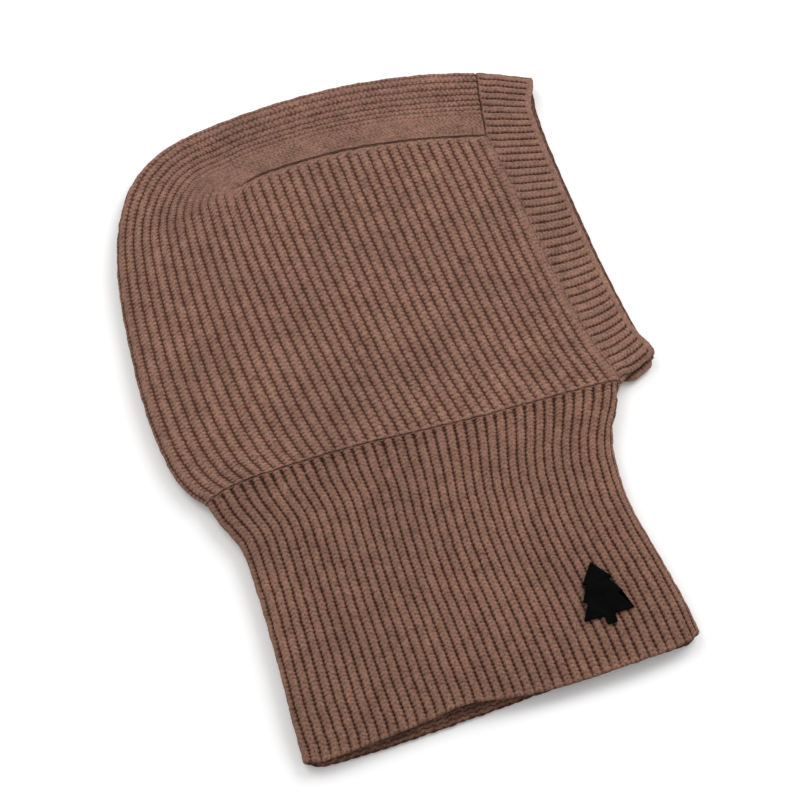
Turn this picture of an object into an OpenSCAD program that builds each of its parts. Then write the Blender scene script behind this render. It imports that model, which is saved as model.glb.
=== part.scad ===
// Knitted balaclava hood, lying flat on its left side with the face opening towards +X.
// +Y runs from the neck hem to the crown, +Z is up, and the underside rests on z = 0.
// Every knitted piece is an open shell: a lower layer, an upper layer and the folds between them.

/* [Knit] */
// Thickness of the knitted fabric
wall = 3; // [2:0.1:4]
// Height of the two layers with the air between them
stack_h = 13; // [12:0.5:18]
// Width of the linking yarn between two knitted pieces
seam_w = 1.2; // [0.8:0.1:2]

/* [Badge] */
// Width of the badge over its lowest boughs
badge_w = 28; // [20:1:36]
// Height of the badge
badge_h = 35; // [26:1:42]
// Thickness of the badge plate
badge_t = 2; // [1.2:0.1:3]
// Distance of the badge centre from the middle of the hood, towards the face
badge_x = 61; // [50:1:68]
// Distance of the badge centre from the middle of the hood, towards the crown
badge_y = -152; // [-162:1:-120]
// Distance between the two posts
post_pitch = 14; // [8:1:20]
// Diameter of a post
post_d = 1.6; // [1:0.1:2.4]
// Diameter of the washer on each post
washer_d = 8; // [5:0.5:12]
// Thickness of each washer
washer_t = 0.8; // [0.5:0.1:1.2]

/* [Labels] */
// Free length of the care label, from its sewn edge
care_len = 44; // [30:1:60]
// Width of the care label
care_w = 26; // [18:1:34]
// Thickness of label tape
tape_t = 0.5; // [0.3:0.1:0.8]
// Width of the sewn edge of the care label
care_edge = 5; // [3:0.5:8]
// Place of the care label's fold, where its free part starts, towards the face
care_x = -92; // [-94:1:-60]
// Place of the care label's centre line, towards the crown
care_y = -160; // [-170:1:-90]
// Width of the size label
size_w = 30; // [20:1:40]
// Height of the size label
size_h = 14; // [8:1:20]
// Place of the size label's centre, towards the face
size_x = -48; // [-70:1:60]
// Place of the size label's centre, towards the crown, just under the neck seam
size_y = -50; // [-60:1:-48]
// Stitches along a sewn edge
stitch_count = 7; // [3:1:12]

/* [Resolution] */
// Steps round each fold
fold_steps = 8; // [6:1:12]
// Steps along each flat layer
flat_steps = 7; // [4:1:10]
// Sections along each knitted piece
row_steps = 16; // [12:1:20]

/* [Hidden] */

knit_colour = [0.45, 0.32, 0.27];
yarn_colour = [0.40, 0.28, 0.23];
tape_colour = [0.90, 0.88, 0.84];
badge_colour = [0.05, 0.05, 0.05];
steel_colour = [0.62, 0.62, 0.64];

fold_r = stack_h / 2;
lower_face = wall;
upper_face = stack_h - wall;

// Half the linking yarn's width, and its clearance from the knit on each side
seam_gap = seam_w / 2;
play = 0.05;

// Bead of yarn along a seam on the inside
bead_h = 1.2;
bead_w = 2.4;
bead_probe = 0.01;

// The hood's fabric starts this far from the chin, where its two layers meet
pocket_start = 6;

// How quickly the bow of a seam fades away from it
neck_fade = 2;
hood_fade = 6;

// Sections along the face band, and extra ones along the hood
band_steps = 6;
crown_steps = 6;

// Place of the band's closing seam along its two edges, and its clearance from them
join_share = 0.06;
join_play = 1;

badge_pos = [badge_x, badge_y];
post_drop = 1;

// Thread of the labels: its thickness, and how much of each pitch a stitch covers
stitch_t = 0.4;
stitch_share = 0.7;
care_pos = [care_x, care_y];
care_margin = 2;
care_play = 0.1;
size_pos = [size_x, size_y];
size_margin = 1;
size_row_inset = 1.5;

// Where the neck, the hood and the face band meet
chin = [108, -36];

// Outer fold of the hood, from the neck seam up the back and forward over the crown
hood_fold = [[-119, -48], [-133, -16], [-138, 34], [-135, 88], [-125, 138], [-104, 171],
             [-68, 187], [-30, 192.6], [8, 194], [46, 191], [78, 186], [103, 178]];

// Seam between the hood and the face band, from the chin up to the crown
face_seam = [chin, [103, 0], [100, 36], [98, 70], [96, 104], [94, 138], [103, 178]];

// Free edge of the face band, from the chin corner up to the crown
face_edge = [[138, -28], [131, 6], [128, 40], [127, 72], [126.5, 104], [127, 136], [131, 166]];

// Seam between the neck and the hood, from the chin to the back fold
neck_seam_line = [chin, [70, -37], [32, -37], [-6, -35], [-44, -34], [-84, -35], [-119, -48]];

// Back and front folds of the neck, from the hem up to the seam
neck_back = [[-110, -194], [-109.5, -162], [-108, -132], [-108, -104], [-109, -76], [-119, -48]];
neck_front = [[103, -190], [101, -162], [97, -132], [93, -104], [96, -74], chin];

// Seams between the side of the hood and its crown strip, from the back to the front
crown_seam_line = [[-49, 144], [-30, 148], [0, 149], [30, 147], [62, 142], [89, 135]];

// Catmull-Rom curve through points p, for t from 0 to 1
function knot(p, i) =
    i < 0 ? 2 * p[0] - p[1]
    : i >= len(p) ? 2 * p[len(p) - 1] - p[len(p) - 2]
    : p[i];
function blend4(a, b, c, d, u) =
    0.5 * (2 * b + (c - a) * u + (2 * a - 5 * b + 4 * c - d) * u * u + (3 * b - a - 3 * c + d) * u * u * u);
function curve(p, t) =
    let (s = t * (len(p) - 1), i = min(floor(s), len(p) - 2))
    blend4(knot(p, i - 1), knot(p, i), knot(p, i + 1), knot(p, i + 2), s - i);

// Departure of a curve from its chord
function bow(p, t) = curve(p, t) - (p[0] + (p[len(p) - 1] - p[0]) * t);

// Rows of plan points: t runs across the piece, from one fold or edge to the other
function neck_row(v, t) =
    let (a = curve(neck_front, v), b = curve(neck_back, v))
    a + (b - a) * t + bow(neck_seam_line, t) * pow(v, neck_fade);
function hood_row(v, t) =
    let (q = curve(hood_fold, v))
    chin + (q - chin) * t + bow(neck_seam_line, t) * pow(1 - v, hood_fade)
    + bow(face_seam, t) * pow(v, hood_fade);
function band_row(v, t) = curve(face_seam, t) * (1 - v) + curve(face_edge, t) * v;

// Profile across a flattened tube of plan length l, as [distance, height] points.
// inset is 0 on the outside and the fabric's thickness on the inside.
function fold_arc(s, side, r) =
    [for (k = [0:fold_steps])
        let (a = side * (90 - 180 * k / fold_steps))
        [s + side * r * cos(a), fold_r + r * sin(a)]];
function flat_run(s0, s1, z) = [for (k = [1:flat_steps - 1]) [s0 + (s1 - s0) * k / flat_steps, z]];
function tube_profile(l, inset) =
    let (r = fold_r - inset)
    concat(fold_arc(l - fold_r, 1, r), flat_run(l - fold_r, fold_r, fold_r - r),
           fold_arc(fold_r, -1, r), flat_run(fold_r, l - fold_r, fold_r + r));
function pocket_profile(l, inset) =
    let (r = fold_r - inset, start = pocket_start)
    concat([[start, fold_r + r]], flat_run(start, l - fold_r, fold_r + r),
           fold_arc(l - fold_r, 1, r), flat_run(l - fold_r, start, fold_r - r), [[start, fold_r - r]]);

// Triangles that join n-point loops into a shell: outer loops first, then inner loops
function quad(a, b, c, d) = [[a, b, c], [a, c, d]];
function shell_faces(rows, n, closed) =
    let (last = closed ? n - 1 : n - 2, inner = rows * n, top = (rows - 1) * n)
    concat(
        [for (i = [0:rows - 2], j = [0:last], f = quad(i * n + j, i * n + (j + 1) % n,
            (i + 1) * n + (j + 1) % n, (i + 1) * n + j)) f],
        [for (i = [0:rows - 2], j = [0:last], f = quad(inner + (i + 1) * n + j,
            inner + (i + 1) * n + (j + 1) % n, inner + i * n + (j + 1) % n, inner + i * n + j)) f],
        [for (j = [0:last], f = quad(inner + j, inner + (j + 1) % n, (j + 1) % n, j)) f],
        [for (j = [0:last], f = quad(top + j, top + (j + 1) % n,
            inner + top + (j + 1) % n, inner + top + j)) f],
        closed ? [] : [for (i = [0:rows - 2], f = quad(i * n, (i + 1) * n,
            inner + (i + 1) * n, inner + i * n)) f],
        closed ? [] : [for (i = [0:rows - 2], f = quad((i + 1) * n - 1, inner + (i + 1) * n - 1,
            inner + (i + 2) * n - 1, (i + 2) * n - 1)) f]);

module shell(outer, inner, closed) {
    n = len(outer[0]);
    points = concat([for (row = outer, p = row) p], [for (row = inner, p = row) p]);
    polyhedron(points, shell_faces(len(outer), n, closed), convexity = 8);
}

// Lays a profile along a row: each profile point's distance becomes a place on the row
function laid(profile, l, row, shift) =
    [for (p = profile) let (q = row[0](row[1], p[0] / l) + shift) [q[0], q[1], p[1]]];

// A closed tube whose rows run from v0 to v1 of row function f, each row moved by shift
module knit_tube(f, v0, v1, steps, shift0, shift1) {
    vs = [for (k = [0:steps]) v0 + (v1 - v0) * k / steps];
    shifts = [for (k = [0:steps]) shift0 + (shift1 - shift0) * k / steps];
    sets = [for (inset = [0, wall])
        [for (k = [0:steps])
            let (l = norm(f(vs[k], 1) - f(vs[k], 0)))
            laid(tube_profile(l, inset), l, [f, vs[k]], shifts[k])]];
    shell(sets[0], sets[1], true);
}

module neck_tube() {
    color(knit_colour)
        knit_tube(function (v, t) neck_row(v, t), 0, 1, row_steps, [0, 0], [0, -seam_gap]);
}

module neck_seam() {
    color(yarn_colour)
        knit_tube(function (v, t) neck_row(1, t), 0, 1, 1, [0, play - seam_gap], [0, seam_gap - play]);
}

module face_band() {
    color(knit_colour)
        knit_tube(function (v, t) band_row(v, t), 0, 1, band_steps, [seam_w, 0], [0, 0]);
}

module face_band_seam() {
    color(yarn_colour)
        knit_tube(function (v, t) band_row(0, t), 0, 1, 1, [play, 0], [seam_w - play, 0]);
}

module hood_panel() {
    steps = row_steps + crown_steps;
    vs = [for (k = [0:steps]) k / steps];
    sets = [for (inset = [0, wall])
        [for (v = vs)
            let (l = norm(hood_row(v, 1) - chin))
            laid(pocket_profile(l, inset), l, [function (u, t) hood_row(u, t), v],
                 [0, seam_gap * (1 - v)])]];
    color(knit_colour)
        shell(sets[0], sets[1], false);
}

// A bead of seam yarn along curve p, bead_w wide, standing from height z0 to z1
module seam_bead(p, z0, z1) {
    steps = row_steps;
    function side(k, s) =
        let (t = k / steps,
             along = curve(p, min(t + bead_probe, 1)) - curve(p, max(t - bead_probe, 0)),
             u = along / norm(along))
        curve(p, t) + s * bead_w / 2 * [-u[1], u[0]];
    points = [for (k = [0:steps], q = [[-1, z0], [1, z0], [1, z1], [-1, z1]])
        let (a = side(k, q[0])) [a[0], a[1], q[1]]];
    sides = [for (k = [0:steps - 1], j = [0:3], f = quad(4 * k + j, 4 * k + (j + 1) % 4,
        4 * (k + 1) + (j + 1) % 4, 4 * (k + 1) + j)) f];
    end = 4 * steps;
    polyhedron(points, concat(sides, quad(3, 2, 1, 0), quad(end, end + 1, end + 2, end + 3)));
}

module crown_seam_right() {
    color(yarn_colour)
        seam_bead(crown_seam_line, upper_face - bead_h, upper_face);
}

module crown_seam_left() {
    color(yarn_colour)
        seam_bead(crown_seam_line, lower_face, lower_face + bead_h);
}

module neck_front_seam() {
    inward = [for (p = neck_front) p - [fold_r + bead_w, 0]];
    color(yarn_colour)
        seam_bead([for (k = [0:len(inward) - 2]) inward[k]], lower_face, lower_face + bead_h);
}

// Short seam that closes the ring of the face band, inside the lower layer at the chin
module face_band_join() {
    start = curve(face_seam, join_share) + [seam_w + join_play, 0];
    finish = curve(face_edge, join_share) - [join_play, 0];
    color(yarn_colour)
        seam_bead([start, (start + finish) / 2, finish], lower_face, lower_face + bead_h);
}

// Outline of a plain fir tree, from the trunk round the three tiers of boughs
function fir_half() =
    [[0.10, 0], [0.10, 0.14], [0.50, 0.14], [0.30, 0.42], [0.40, 0.42], [0.22, 0.68], [0.30, 0.68], [0, 1]];

module badge_outline() {
    half = [for (p = fir_half()) [p[0] * badge_w, (p[1] - 0.5) * badge_h]];
    other = [for (k = [len(half) - 2:-1:0]) [-half[k][0], half[k][1]]];
    polygon(concat(half, other));
}

module badge_plate() {
    color(badge_colour)
        translate([badge_pos[0], badge_pos[1], stack_h])
            linear_extrude(badge_t)
                badge_outline();
}

// Puts its child on the axis of each post
module at_posts() {
    for (side = [-1, 1])
        translate([badge_pos[0], badge_pos[1] - post_drop + side * post_pitch / 2, 0])
            children();
}

module badge_posts() {
    color(steel_colour)
        at_posts()
            translate([0, 0, upper_face - washer_t])
                cylinder(d = post_d, h = wall + washer_t, $fn = 32);
}

module badge_washers() {
    color(steel_colour)
        at_posts()
            translate([0, 0, upper_face - washer_t])
                difference() {
                    cylinder(d = washer_d, h = washer_t, $fn = 48);
                    translate([0, 0, -1])
                        cylinder(d = post_d, h = washer_t + 2, $fn = 32);
                }
}

module care_label_flap() {
    color(tape_colour)
        translate([care_pos[0] + care_play, care_pos[1] - care_w / 2, lower_face + care_play])
            cube([care_len, care_w, tape_t]);
}

module care_label_edge() {
    color(tape_colour)
        translate([care_pos[0] - care_edge, care_pos[1] - care_w / 2, lower_face])
            cube([care_edge, care_w, tape_t]);
}

module care_label_stitches() {
    pitch = (care_w - 2 * care_margin) / (stitch_count - 1);
    length = pitch * stitch_share;
    first = care_pos[1] - care_w / 2 + care_margin - length / 2;
    color(yarn_colour)
        for (k = [0:stitch_count - 1])
            translate([care_pos[0] - care_edge / 2 - stitch_t / 2, first + k * pitch, lower_face + tape_t])
                cube([stitch_t, length, stitch_t]);
}

module size_label() {
    color(tape_colour)
        translate([size_pos[0] - size_w / 2, size_pos[1] - size_h / 2, lower_face])
            cube([size_w, size_h, tape_t]);
}

module size_label_stitches() {
    pitch = (size_h - 2 * size_margin) / (stitch_count - 1);
    length = pitch * stitch_share;
    first = size_pos[1] - size_h / 2 + size_margin - length / 2;
    row_x = size_w / 2 - size_row_inset;
    color(yarn_colour)
        for (side = [-1, 1], k = [0:stitch_count - 1])
            translate([size_pos[0] + side * row_x - stitch_t / 2, first + k * pitch, lower_face + tape_t])
                cube([stitch_t, length, stitch_t]);
}

hood_panel();
face_band();
neck_tube();
neck_seam();
face_band_seam();
crown_seam_right();
crown_seam_left();
neck_front_seam();
face_band_join();
badge_plate();
badge_posts();
badge_washers();
care_label_flap();
care_label_edge();
care_label_stitches();
size_label();
size_label_stitches();
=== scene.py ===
import math

import bpy
import numpy as np
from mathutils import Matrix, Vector


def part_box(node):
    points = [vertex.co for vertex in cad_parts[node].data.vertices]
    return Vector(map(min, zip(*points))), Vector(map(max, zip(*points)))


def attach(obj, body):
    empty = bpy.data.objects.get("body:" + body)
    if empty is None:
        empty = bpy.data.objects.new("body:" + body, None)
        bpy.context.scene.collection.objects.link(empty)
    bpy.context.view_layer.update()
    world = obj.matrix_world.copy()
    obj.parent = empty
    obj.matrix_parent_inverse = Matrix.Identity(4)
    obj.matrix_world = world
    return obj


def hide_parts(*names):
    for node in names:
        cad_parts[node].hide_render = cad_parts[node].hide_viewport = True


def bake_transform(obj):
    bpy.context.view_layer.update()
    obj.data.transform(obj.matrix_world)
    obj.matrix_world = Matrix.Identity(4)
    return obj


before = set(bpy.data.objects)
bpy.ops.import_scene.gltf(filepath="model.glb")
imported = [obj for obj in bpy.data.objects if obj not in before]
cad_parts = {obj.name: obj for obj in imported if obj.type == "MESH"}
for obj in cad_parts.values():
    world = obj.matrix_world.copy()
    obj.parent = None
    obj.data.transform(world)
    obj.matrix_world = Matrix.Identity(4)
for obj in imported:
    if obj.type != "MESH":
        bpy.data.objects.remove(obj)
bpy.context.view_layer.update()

MM = 0.001

# ---------------------------------------------------------------- plan of the hood, in mm
# Where the neck, the hood and the face band meet, at the front fold
CHIN = (113, -38)

# Where the neck and the hood meet, at the back fold
NAPE = (-120.5, -41)

# Where the crown seam meets the face band's seam, and where that seam ends at the outer fold
STRIP_FRONT = (93.5, 134)
BROW = (102, 179)

# Outer fold of the hood, from the neck seam up the back and forward over the crown
HOOD_FOLD = [NAPE, (-128.5, -30), (-134, -14), (-137, 8), (-138, 34), (-137, 62), (-135, 88),
             (-131, 115), (-124, 140), (-114, 160), (-102, 173), (-86, 182), (-68, 187), (-48, 190.5),
             (-26, 193), (0, 194), (26, 193.3), (50, 190.8), (72, 187.2), (90, 182.8), BROW]

# Seam between the hood and the face band: beside the side of the hood, then beside its crown strip
FACE_SEAM_SIDE = [CHIN, (106, -10), (102, 20), (99.5, 48), (98, 76), (96, 104), STRIP_FRONT]
FACE_SEAM_CROWN = [STRIP_FRONT, BROW]

# Free edge of the face band's lower layer, from the chin corner up to the crown, and how far the upper one
# stays inside it
FACE_EDGE = [(137, -28), (134, -8), (131.5, 16), (129.5, 44), (128.4, 72), (127.6, 100), (127.4, 128),
             (128.5, 148), (131.5, 166)]
UPPER_EDGE_INSET = 4.6

# Seam between the neck and the hood, from the chin to the back fold
NECK_SEAM = [CHIN, (74, -37), (34, -37), (-4, -35), (-42, -33.5), (-78, -34), (-104, -36.5), NAPE]

# Place on that seam where the side of the hood ends and its wrap begins
NECK_SEAM_MARK = (-35, -33.6)

# Back and front folds of the neck, from the hem up to the seam
NECK_BACK = [(-110, -193), (-109.5, -168), (-108.5, -143), (-108, -118), (-108, -93), (-109.5, -70),
             (-116.5, -53), NAPE]
NECK_FRONT = [(103, -188), (101, -165), (97.5, -140), (94, -117), (93, -98), (97, -70), CHIN]

# Wave of the hem's two layers, as (share of the way from front to back, departure from a straight hem)
HEM_UPPER = [(0, 0), (0.12, -1.6), (0.24, -2.2), (0.37, -1.7), (0.51, 1.5), (0.59, 4.5), (0.667, 3.4),
             (0.77, 1.8), (0.89, 0.4), (1, 0)]
HEM_LOWER = [(0, 0), (0.25, 0.8), (0.42, 0), (0.58, -1.0), (0.78, -1.8), (0.9, -1.4), (1, 0)]

# How far the hem's corners draw in, and a low arch that lifts its upper layer
HEM_CORNER = 3.0
HEM_RISE = 1.6
HEM_RISE_AT = 0.6
HEM_RISE_WIDTH = 0.11

# Seam between the side of the hood and its crown strip, from the back to the front
CROWN_SEAM = [(-52, 142.8), (-41, 146.8), (-26, 148.5), (-6, 149.2), (16, 148.5),
              (42, 145.5), (68, 140.5), STRIP_FRONT]

# Turns of the hood's outer fold: where the back ends and where the crown starts
CORNER_LOW = (-131, 116)
CORNER_HIGH = (-60, 188.5)

# Front fold of the neck and the face band, as (distance from the front edge, share of the height): a plain
# fold, and two lips with a valley between them
PLAIN_LIP = [(0, 0.5), (0.2, 0.63), (0.8, 0.76), (1.8, 0.87), (3.4, 0.96), (6, 1)]
UPPER_LIP = [(7, 0.52), (4, 0.60), (1.6, 0.66), (0.5, 0.79), (1.4, 0.94), (4.2, 1)]
LOWER_LIP = [(7, 0.52), (4, 0.44), (0.8, 0.37), (-2.2, 0.26), (-1.6, 0.07), (3, 0)]

# ---------------------------------------------------------------- sizes in mm, and counts
# Thickness of the knit under its relief, and heights of the lower and the upper layer's grooves
FABRIC = 1.7
FLOOR_GAP = 1.25
TOP = 11.7

# Radius of the folds in plan, and how far the upper layer sinks at the hem and at the crown
FOLD = 5.6
HEM_DROP = 2.6
CROWN_DROP = 0.6

# How far the knit wanders in plan, the power of the bend in the line where the hood's side meets its wrap,
# and the knit's least height
WANDER = 0.13
BACK_BEND = 1.7
TABLE_GAP = 0.04

# Nominal size of a stitch, in which the seeded differences between stitches are measured
RIB_WIDTH = 5
COURSE_HEIGHT = 2.5

# Ribs and courses of the three knitted pieces. The FINE ribs are in sight and take every rib phase.
HOOD_RIBS_SIDE = 25
HOOD_RIBS_WRAP = 31
HOOD_RIBS_FINE = 20
NECK_RIBS = 86
NECK_RIBS_FINE = (-5, 48)
BAND_RIBS = 86
LIP_RIBS = 2.4
HOOD_COURSES = 66
CORNER_COURSES = 36
CROWN_COURSES = 57
NECK_COURSES = 66
BAND_COURSES = 12

# Height of one of the hood's courses
HOOD_COURSE = 2.7

# Rows and columns of points on the outer face, and the strides at which the inner face takes them
ROWS_PER_COURSE = 5
RIB_PHASES = (0, 0.06, 0.14, 0.23, 0.36, 0.5, 0.64, 0.77, 0.86, 0.94)
INNER_ROWS = 10
INNER_COLUMNS = 5

# Points along a finely drawn curve, round a lip or a fold, and along a flat stretch
CURVE_POINTS = 1500
LIP_POINTS = 40
FLAT_POINTS = 300

# Loops of the two knits, as (how far a rib's two sides are set apart, how steeply they slope), how sharply
# one side changes to the other, and how sharp the gaps between loops are
TUCK_LOOPS = (0.2, 0)
PLAIN_LOOPS = (0, 0.4)
SIDE_STEP = 6
GAP_SHARPNESS = 1.8

# Greatest height of the relief, the height that the inner face is shaded at, and the crown seam's groove
TALLEST = 1.35
INNER_HEIGHT = 0.6
GROOVE_DEPTH = 1.9
GROOVE_WIDTH = 0.9

# Radius of the linking yarns on the outer face and inside
YARN = 0.42
INSIDE_YARN = 0.5

# Labels: thickness of the tape, the gap under it, and the radius and number of the stitches in a line
TAPE_THICKNESS = 0.42
LABEL_GAP = 0.03
THREAD_RADIUS = 0.2
STITCH_COUNT = 7


# ---------------------------------------------------------------- curves
def curve(points, t):
    """Catmull-Rom curve through points, at each t from 0 to 1."""
    p = np.asarray(points, float)
    p = np.vstack([2 * p[0] - p[1], p, 2 * p[-1] - p[-2]])
    s = np.clip(np.asarray(t, float), 0, 1) * (len(points) - 1)
    i = np.minimum(s.astype(int), len(points) - 2)
    u = (s - i)[..., None]
    a, b, c, d = p[i], p[i + 1], p[i + 2], p[i + 3]
    square, cube = 2 * a - 5 * b + 4 * c - d, 3 * b - a - 3 * c + d
    return 0.5 * (2 * b + (c - a) * u + square * u ** 2 + cube * u ** 3)


def run_of(points):
    """Distance along a polyline at each of its points."""
    return np.concatenate([[0], np.cumsum(np.linalg.norm(np.diff(points, axis=0), axis=1))])


def read_at(at, places, values):
    """The rows of values, which are given at rising places, read at other places."""
    return np.stack([np.interp(at, places, column) for column in values.T], -1)


def unit(vectors):
    return vectors / np.linalg.norm(vectors, axis=-1, keepdims=True)


def even_curve(points, t):
    """The same curve, with t as the share of its length."""
    fine = curve(points, np.linspace(0, 1, CURVE_POINTS))
    run = run_of(fine)
    return read_at(np.asarray(t, float) * run[-1], run, fine)


def share_at(points, test):
    """Share of a curve's length at its point nearest to test."""
    t = np.linspace(0, 1, 4001)
    return t[np.argmin(np.linalg.norm(even_curve(points, t) - np.array(test, float), axis=1))]


def length_of(points):
    return run_of(curve(points, np.linspace(0, 1, CURVE_POINTS)))[-1]


def wave(points, t):
    """A smooth curve through (place, value) points, read at place t."""
    fine = curve(points, np.linspace(0, 1, 400))
    return np.interp(t, fine[:, 0], fine[:, 1])


def smooth(x, low, high):
    u = np.clip((x - low) / (high - low), 0, 1)
    return u * u * (3 - 2 * u)


def bell(x, centre, width):
    return np.exp(-((x - centre) / width) ** 2)


def ripple(x, y, size, seed, count=7):
    """Smooth seeded undulation of about unit height, with waves about size long."""
    r = np.random.default_rng(seed)
    total = np.zeros(np.broadcast(x, y).shape)
    for _ in range(count):
        angle = r.uniform(0, math.tau)
        k = math.tau / (size * r.uniform(0.7, 1.6))
        total += np.sin(k * (x * math.cos(angle) + y * math.sin(angle)) + r.uniform(0, math.tau))
    return total / math.sqrt(count)


# ---------------------------------------------------------------- knit relief, in mm above the grooves
def rib_phase(w):
    """0 in the middle of a rib and 1 in the groove beside it."""
    return 2 * np.abs(w - np.floor(w) - 0.5)


def stitch_ripple(w, c, size, seed):
    """Seeded undulation over the stitches, with waves about size mm long."""
    return ripple(w * RIB_WIDTH, c * COURSE_HEIGHT, size, seed)


def wandering(w, c):
    """Course numbers that wander a little along and across the ribs, as hand-guided knitting does."""
    return c + 0.13 * stitch_ripple(w, c, 9, 23)


def uneven(w, c):
    """Small seeded differences between stitches."""
    return 0.09 * stitch_ripple(w, c, 9, 21) + 0.07 * stitch_ripple(w, c, 3.5, 22)


def loop_gap(w, c, loops):
    """How far a place is into the gap between two loops, from 0 to 1."""
    side = w - np.floor(w) - 0.5
    turn = c + loops[0] * np.clip(side * SIDE_STEP, -1, 1) + loops[1] * 2 * np.abs(side)
    return (0.5 + 0.5 * np.cos(math.tau * turn)) ** GAP_SHARPNESS


def fisherman_rib(w, c):
    """A plump rib with a ladder of tuck stitches: w counts ribs and c counts courses."""
    a, gap = rib_phase(w), loop_gap(w, c, TUCK_LOOPS)
    ridge = 1 - np.clip(a + 0.08 * (gap - 0.4), 0, 1.1) ** 2.6
    return ridge * (1.10 + uneven(w, c)) - gap * (0.03 + 0.09 * bell(a, 0.42, 0.26)) - 0.08 * bell(a, 0, 0.2)


def plain_rib(w, c):
    """A one-by-one rib: a column of V stitches with a deep groove on each side."""
    a, gap = rib_phase(w), loop_gap(w, c, PLAIN_LOOPS)
    ridge = 1 - np.clip(a + 0.08 * (gap - 0.4), 0, 1.1) ** 2.4
    return ridge * (1.14 + uneven(w, c)) - gap * (0.03 + 0.08 * bell(a, 0, 0.28)) - 0.07 * bell(a, 0, 0.15)


def flat_knit(w, c):
    """Knit whose ribs are stretched out flat: low stitches in faint columns."""
    a = rib_phase(w)
    return 0.79 + 0.10 * (1 - a ** 2) - 0.06 * loop_gap(w, c, PLAIN_LOOPS) + 0.7 * uneven(w, c)


def linked_edge(lift, w, c):
    """The hood's relief beside the neck seam, where its first courses are drawn flat by the linking."""
    return mix(lift, 1.15 - 0.6 * rib_phase(w) ** 3, bell(c, 0.35, 0.35))


def mix(a, b, share):
    return a * (1 - share) + b * share


# ---------------------------------------------------------------- heights over the table, in mm
def top_height(x, y):
    """Height of the upper layer's grooves."""
    flat = TOP + 0.30 * ripple(x, y, 75, 3) + 0.10 * ripple(x, y, 24, 4)
    hem = smooth(-y, 166, 192)
    crown = CROWN_DROP * smooth(y, 120, 175)
    return flat - HEM_DROP * hem - crown


def place(xy, high, rise=0):
    """Points at plan places xy, at a share of the upper layer's height. The knit wanders a little there."""
    x, y = xy[..., 0], xy[..., 1]
    z = FLOOR_GAP + high * (top_height(x, y) + rise - FLOOR_GAP)
    return np.stack([x + WANDER * ripple(x, y, 9, 31), y + WANDER * ripple(x, y, 9, 32), z], -1)


def turned(distance, radius):
    """Height above the middle, from 0 to 1, at a plan distance from the outermost line of a round fold."""
    return np.sqrt(1 - (1 - np.clip(distance / radius, 0, 1)) ** 2)


# ---------------------------------------------------------------- fabric shells
def rib_samples(first, last, stride=1):
    """Rib coordinates of the columns, closer together in the grooves."""
    values = [k + p for k in range(math.floor(first), math.ceil(last)) for p in RIB_PHASES[::stride]]
    return np.array([v for v in values if first <= v < last - 1e-9] + [last])


def picks(count, stride):
    """Every stride-th index below count, with the last one."""
    chosen = list(range(0, count, stride))
    return chosen if chosen[-1] == count - 1 else chosen + [count - 1]


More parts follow.
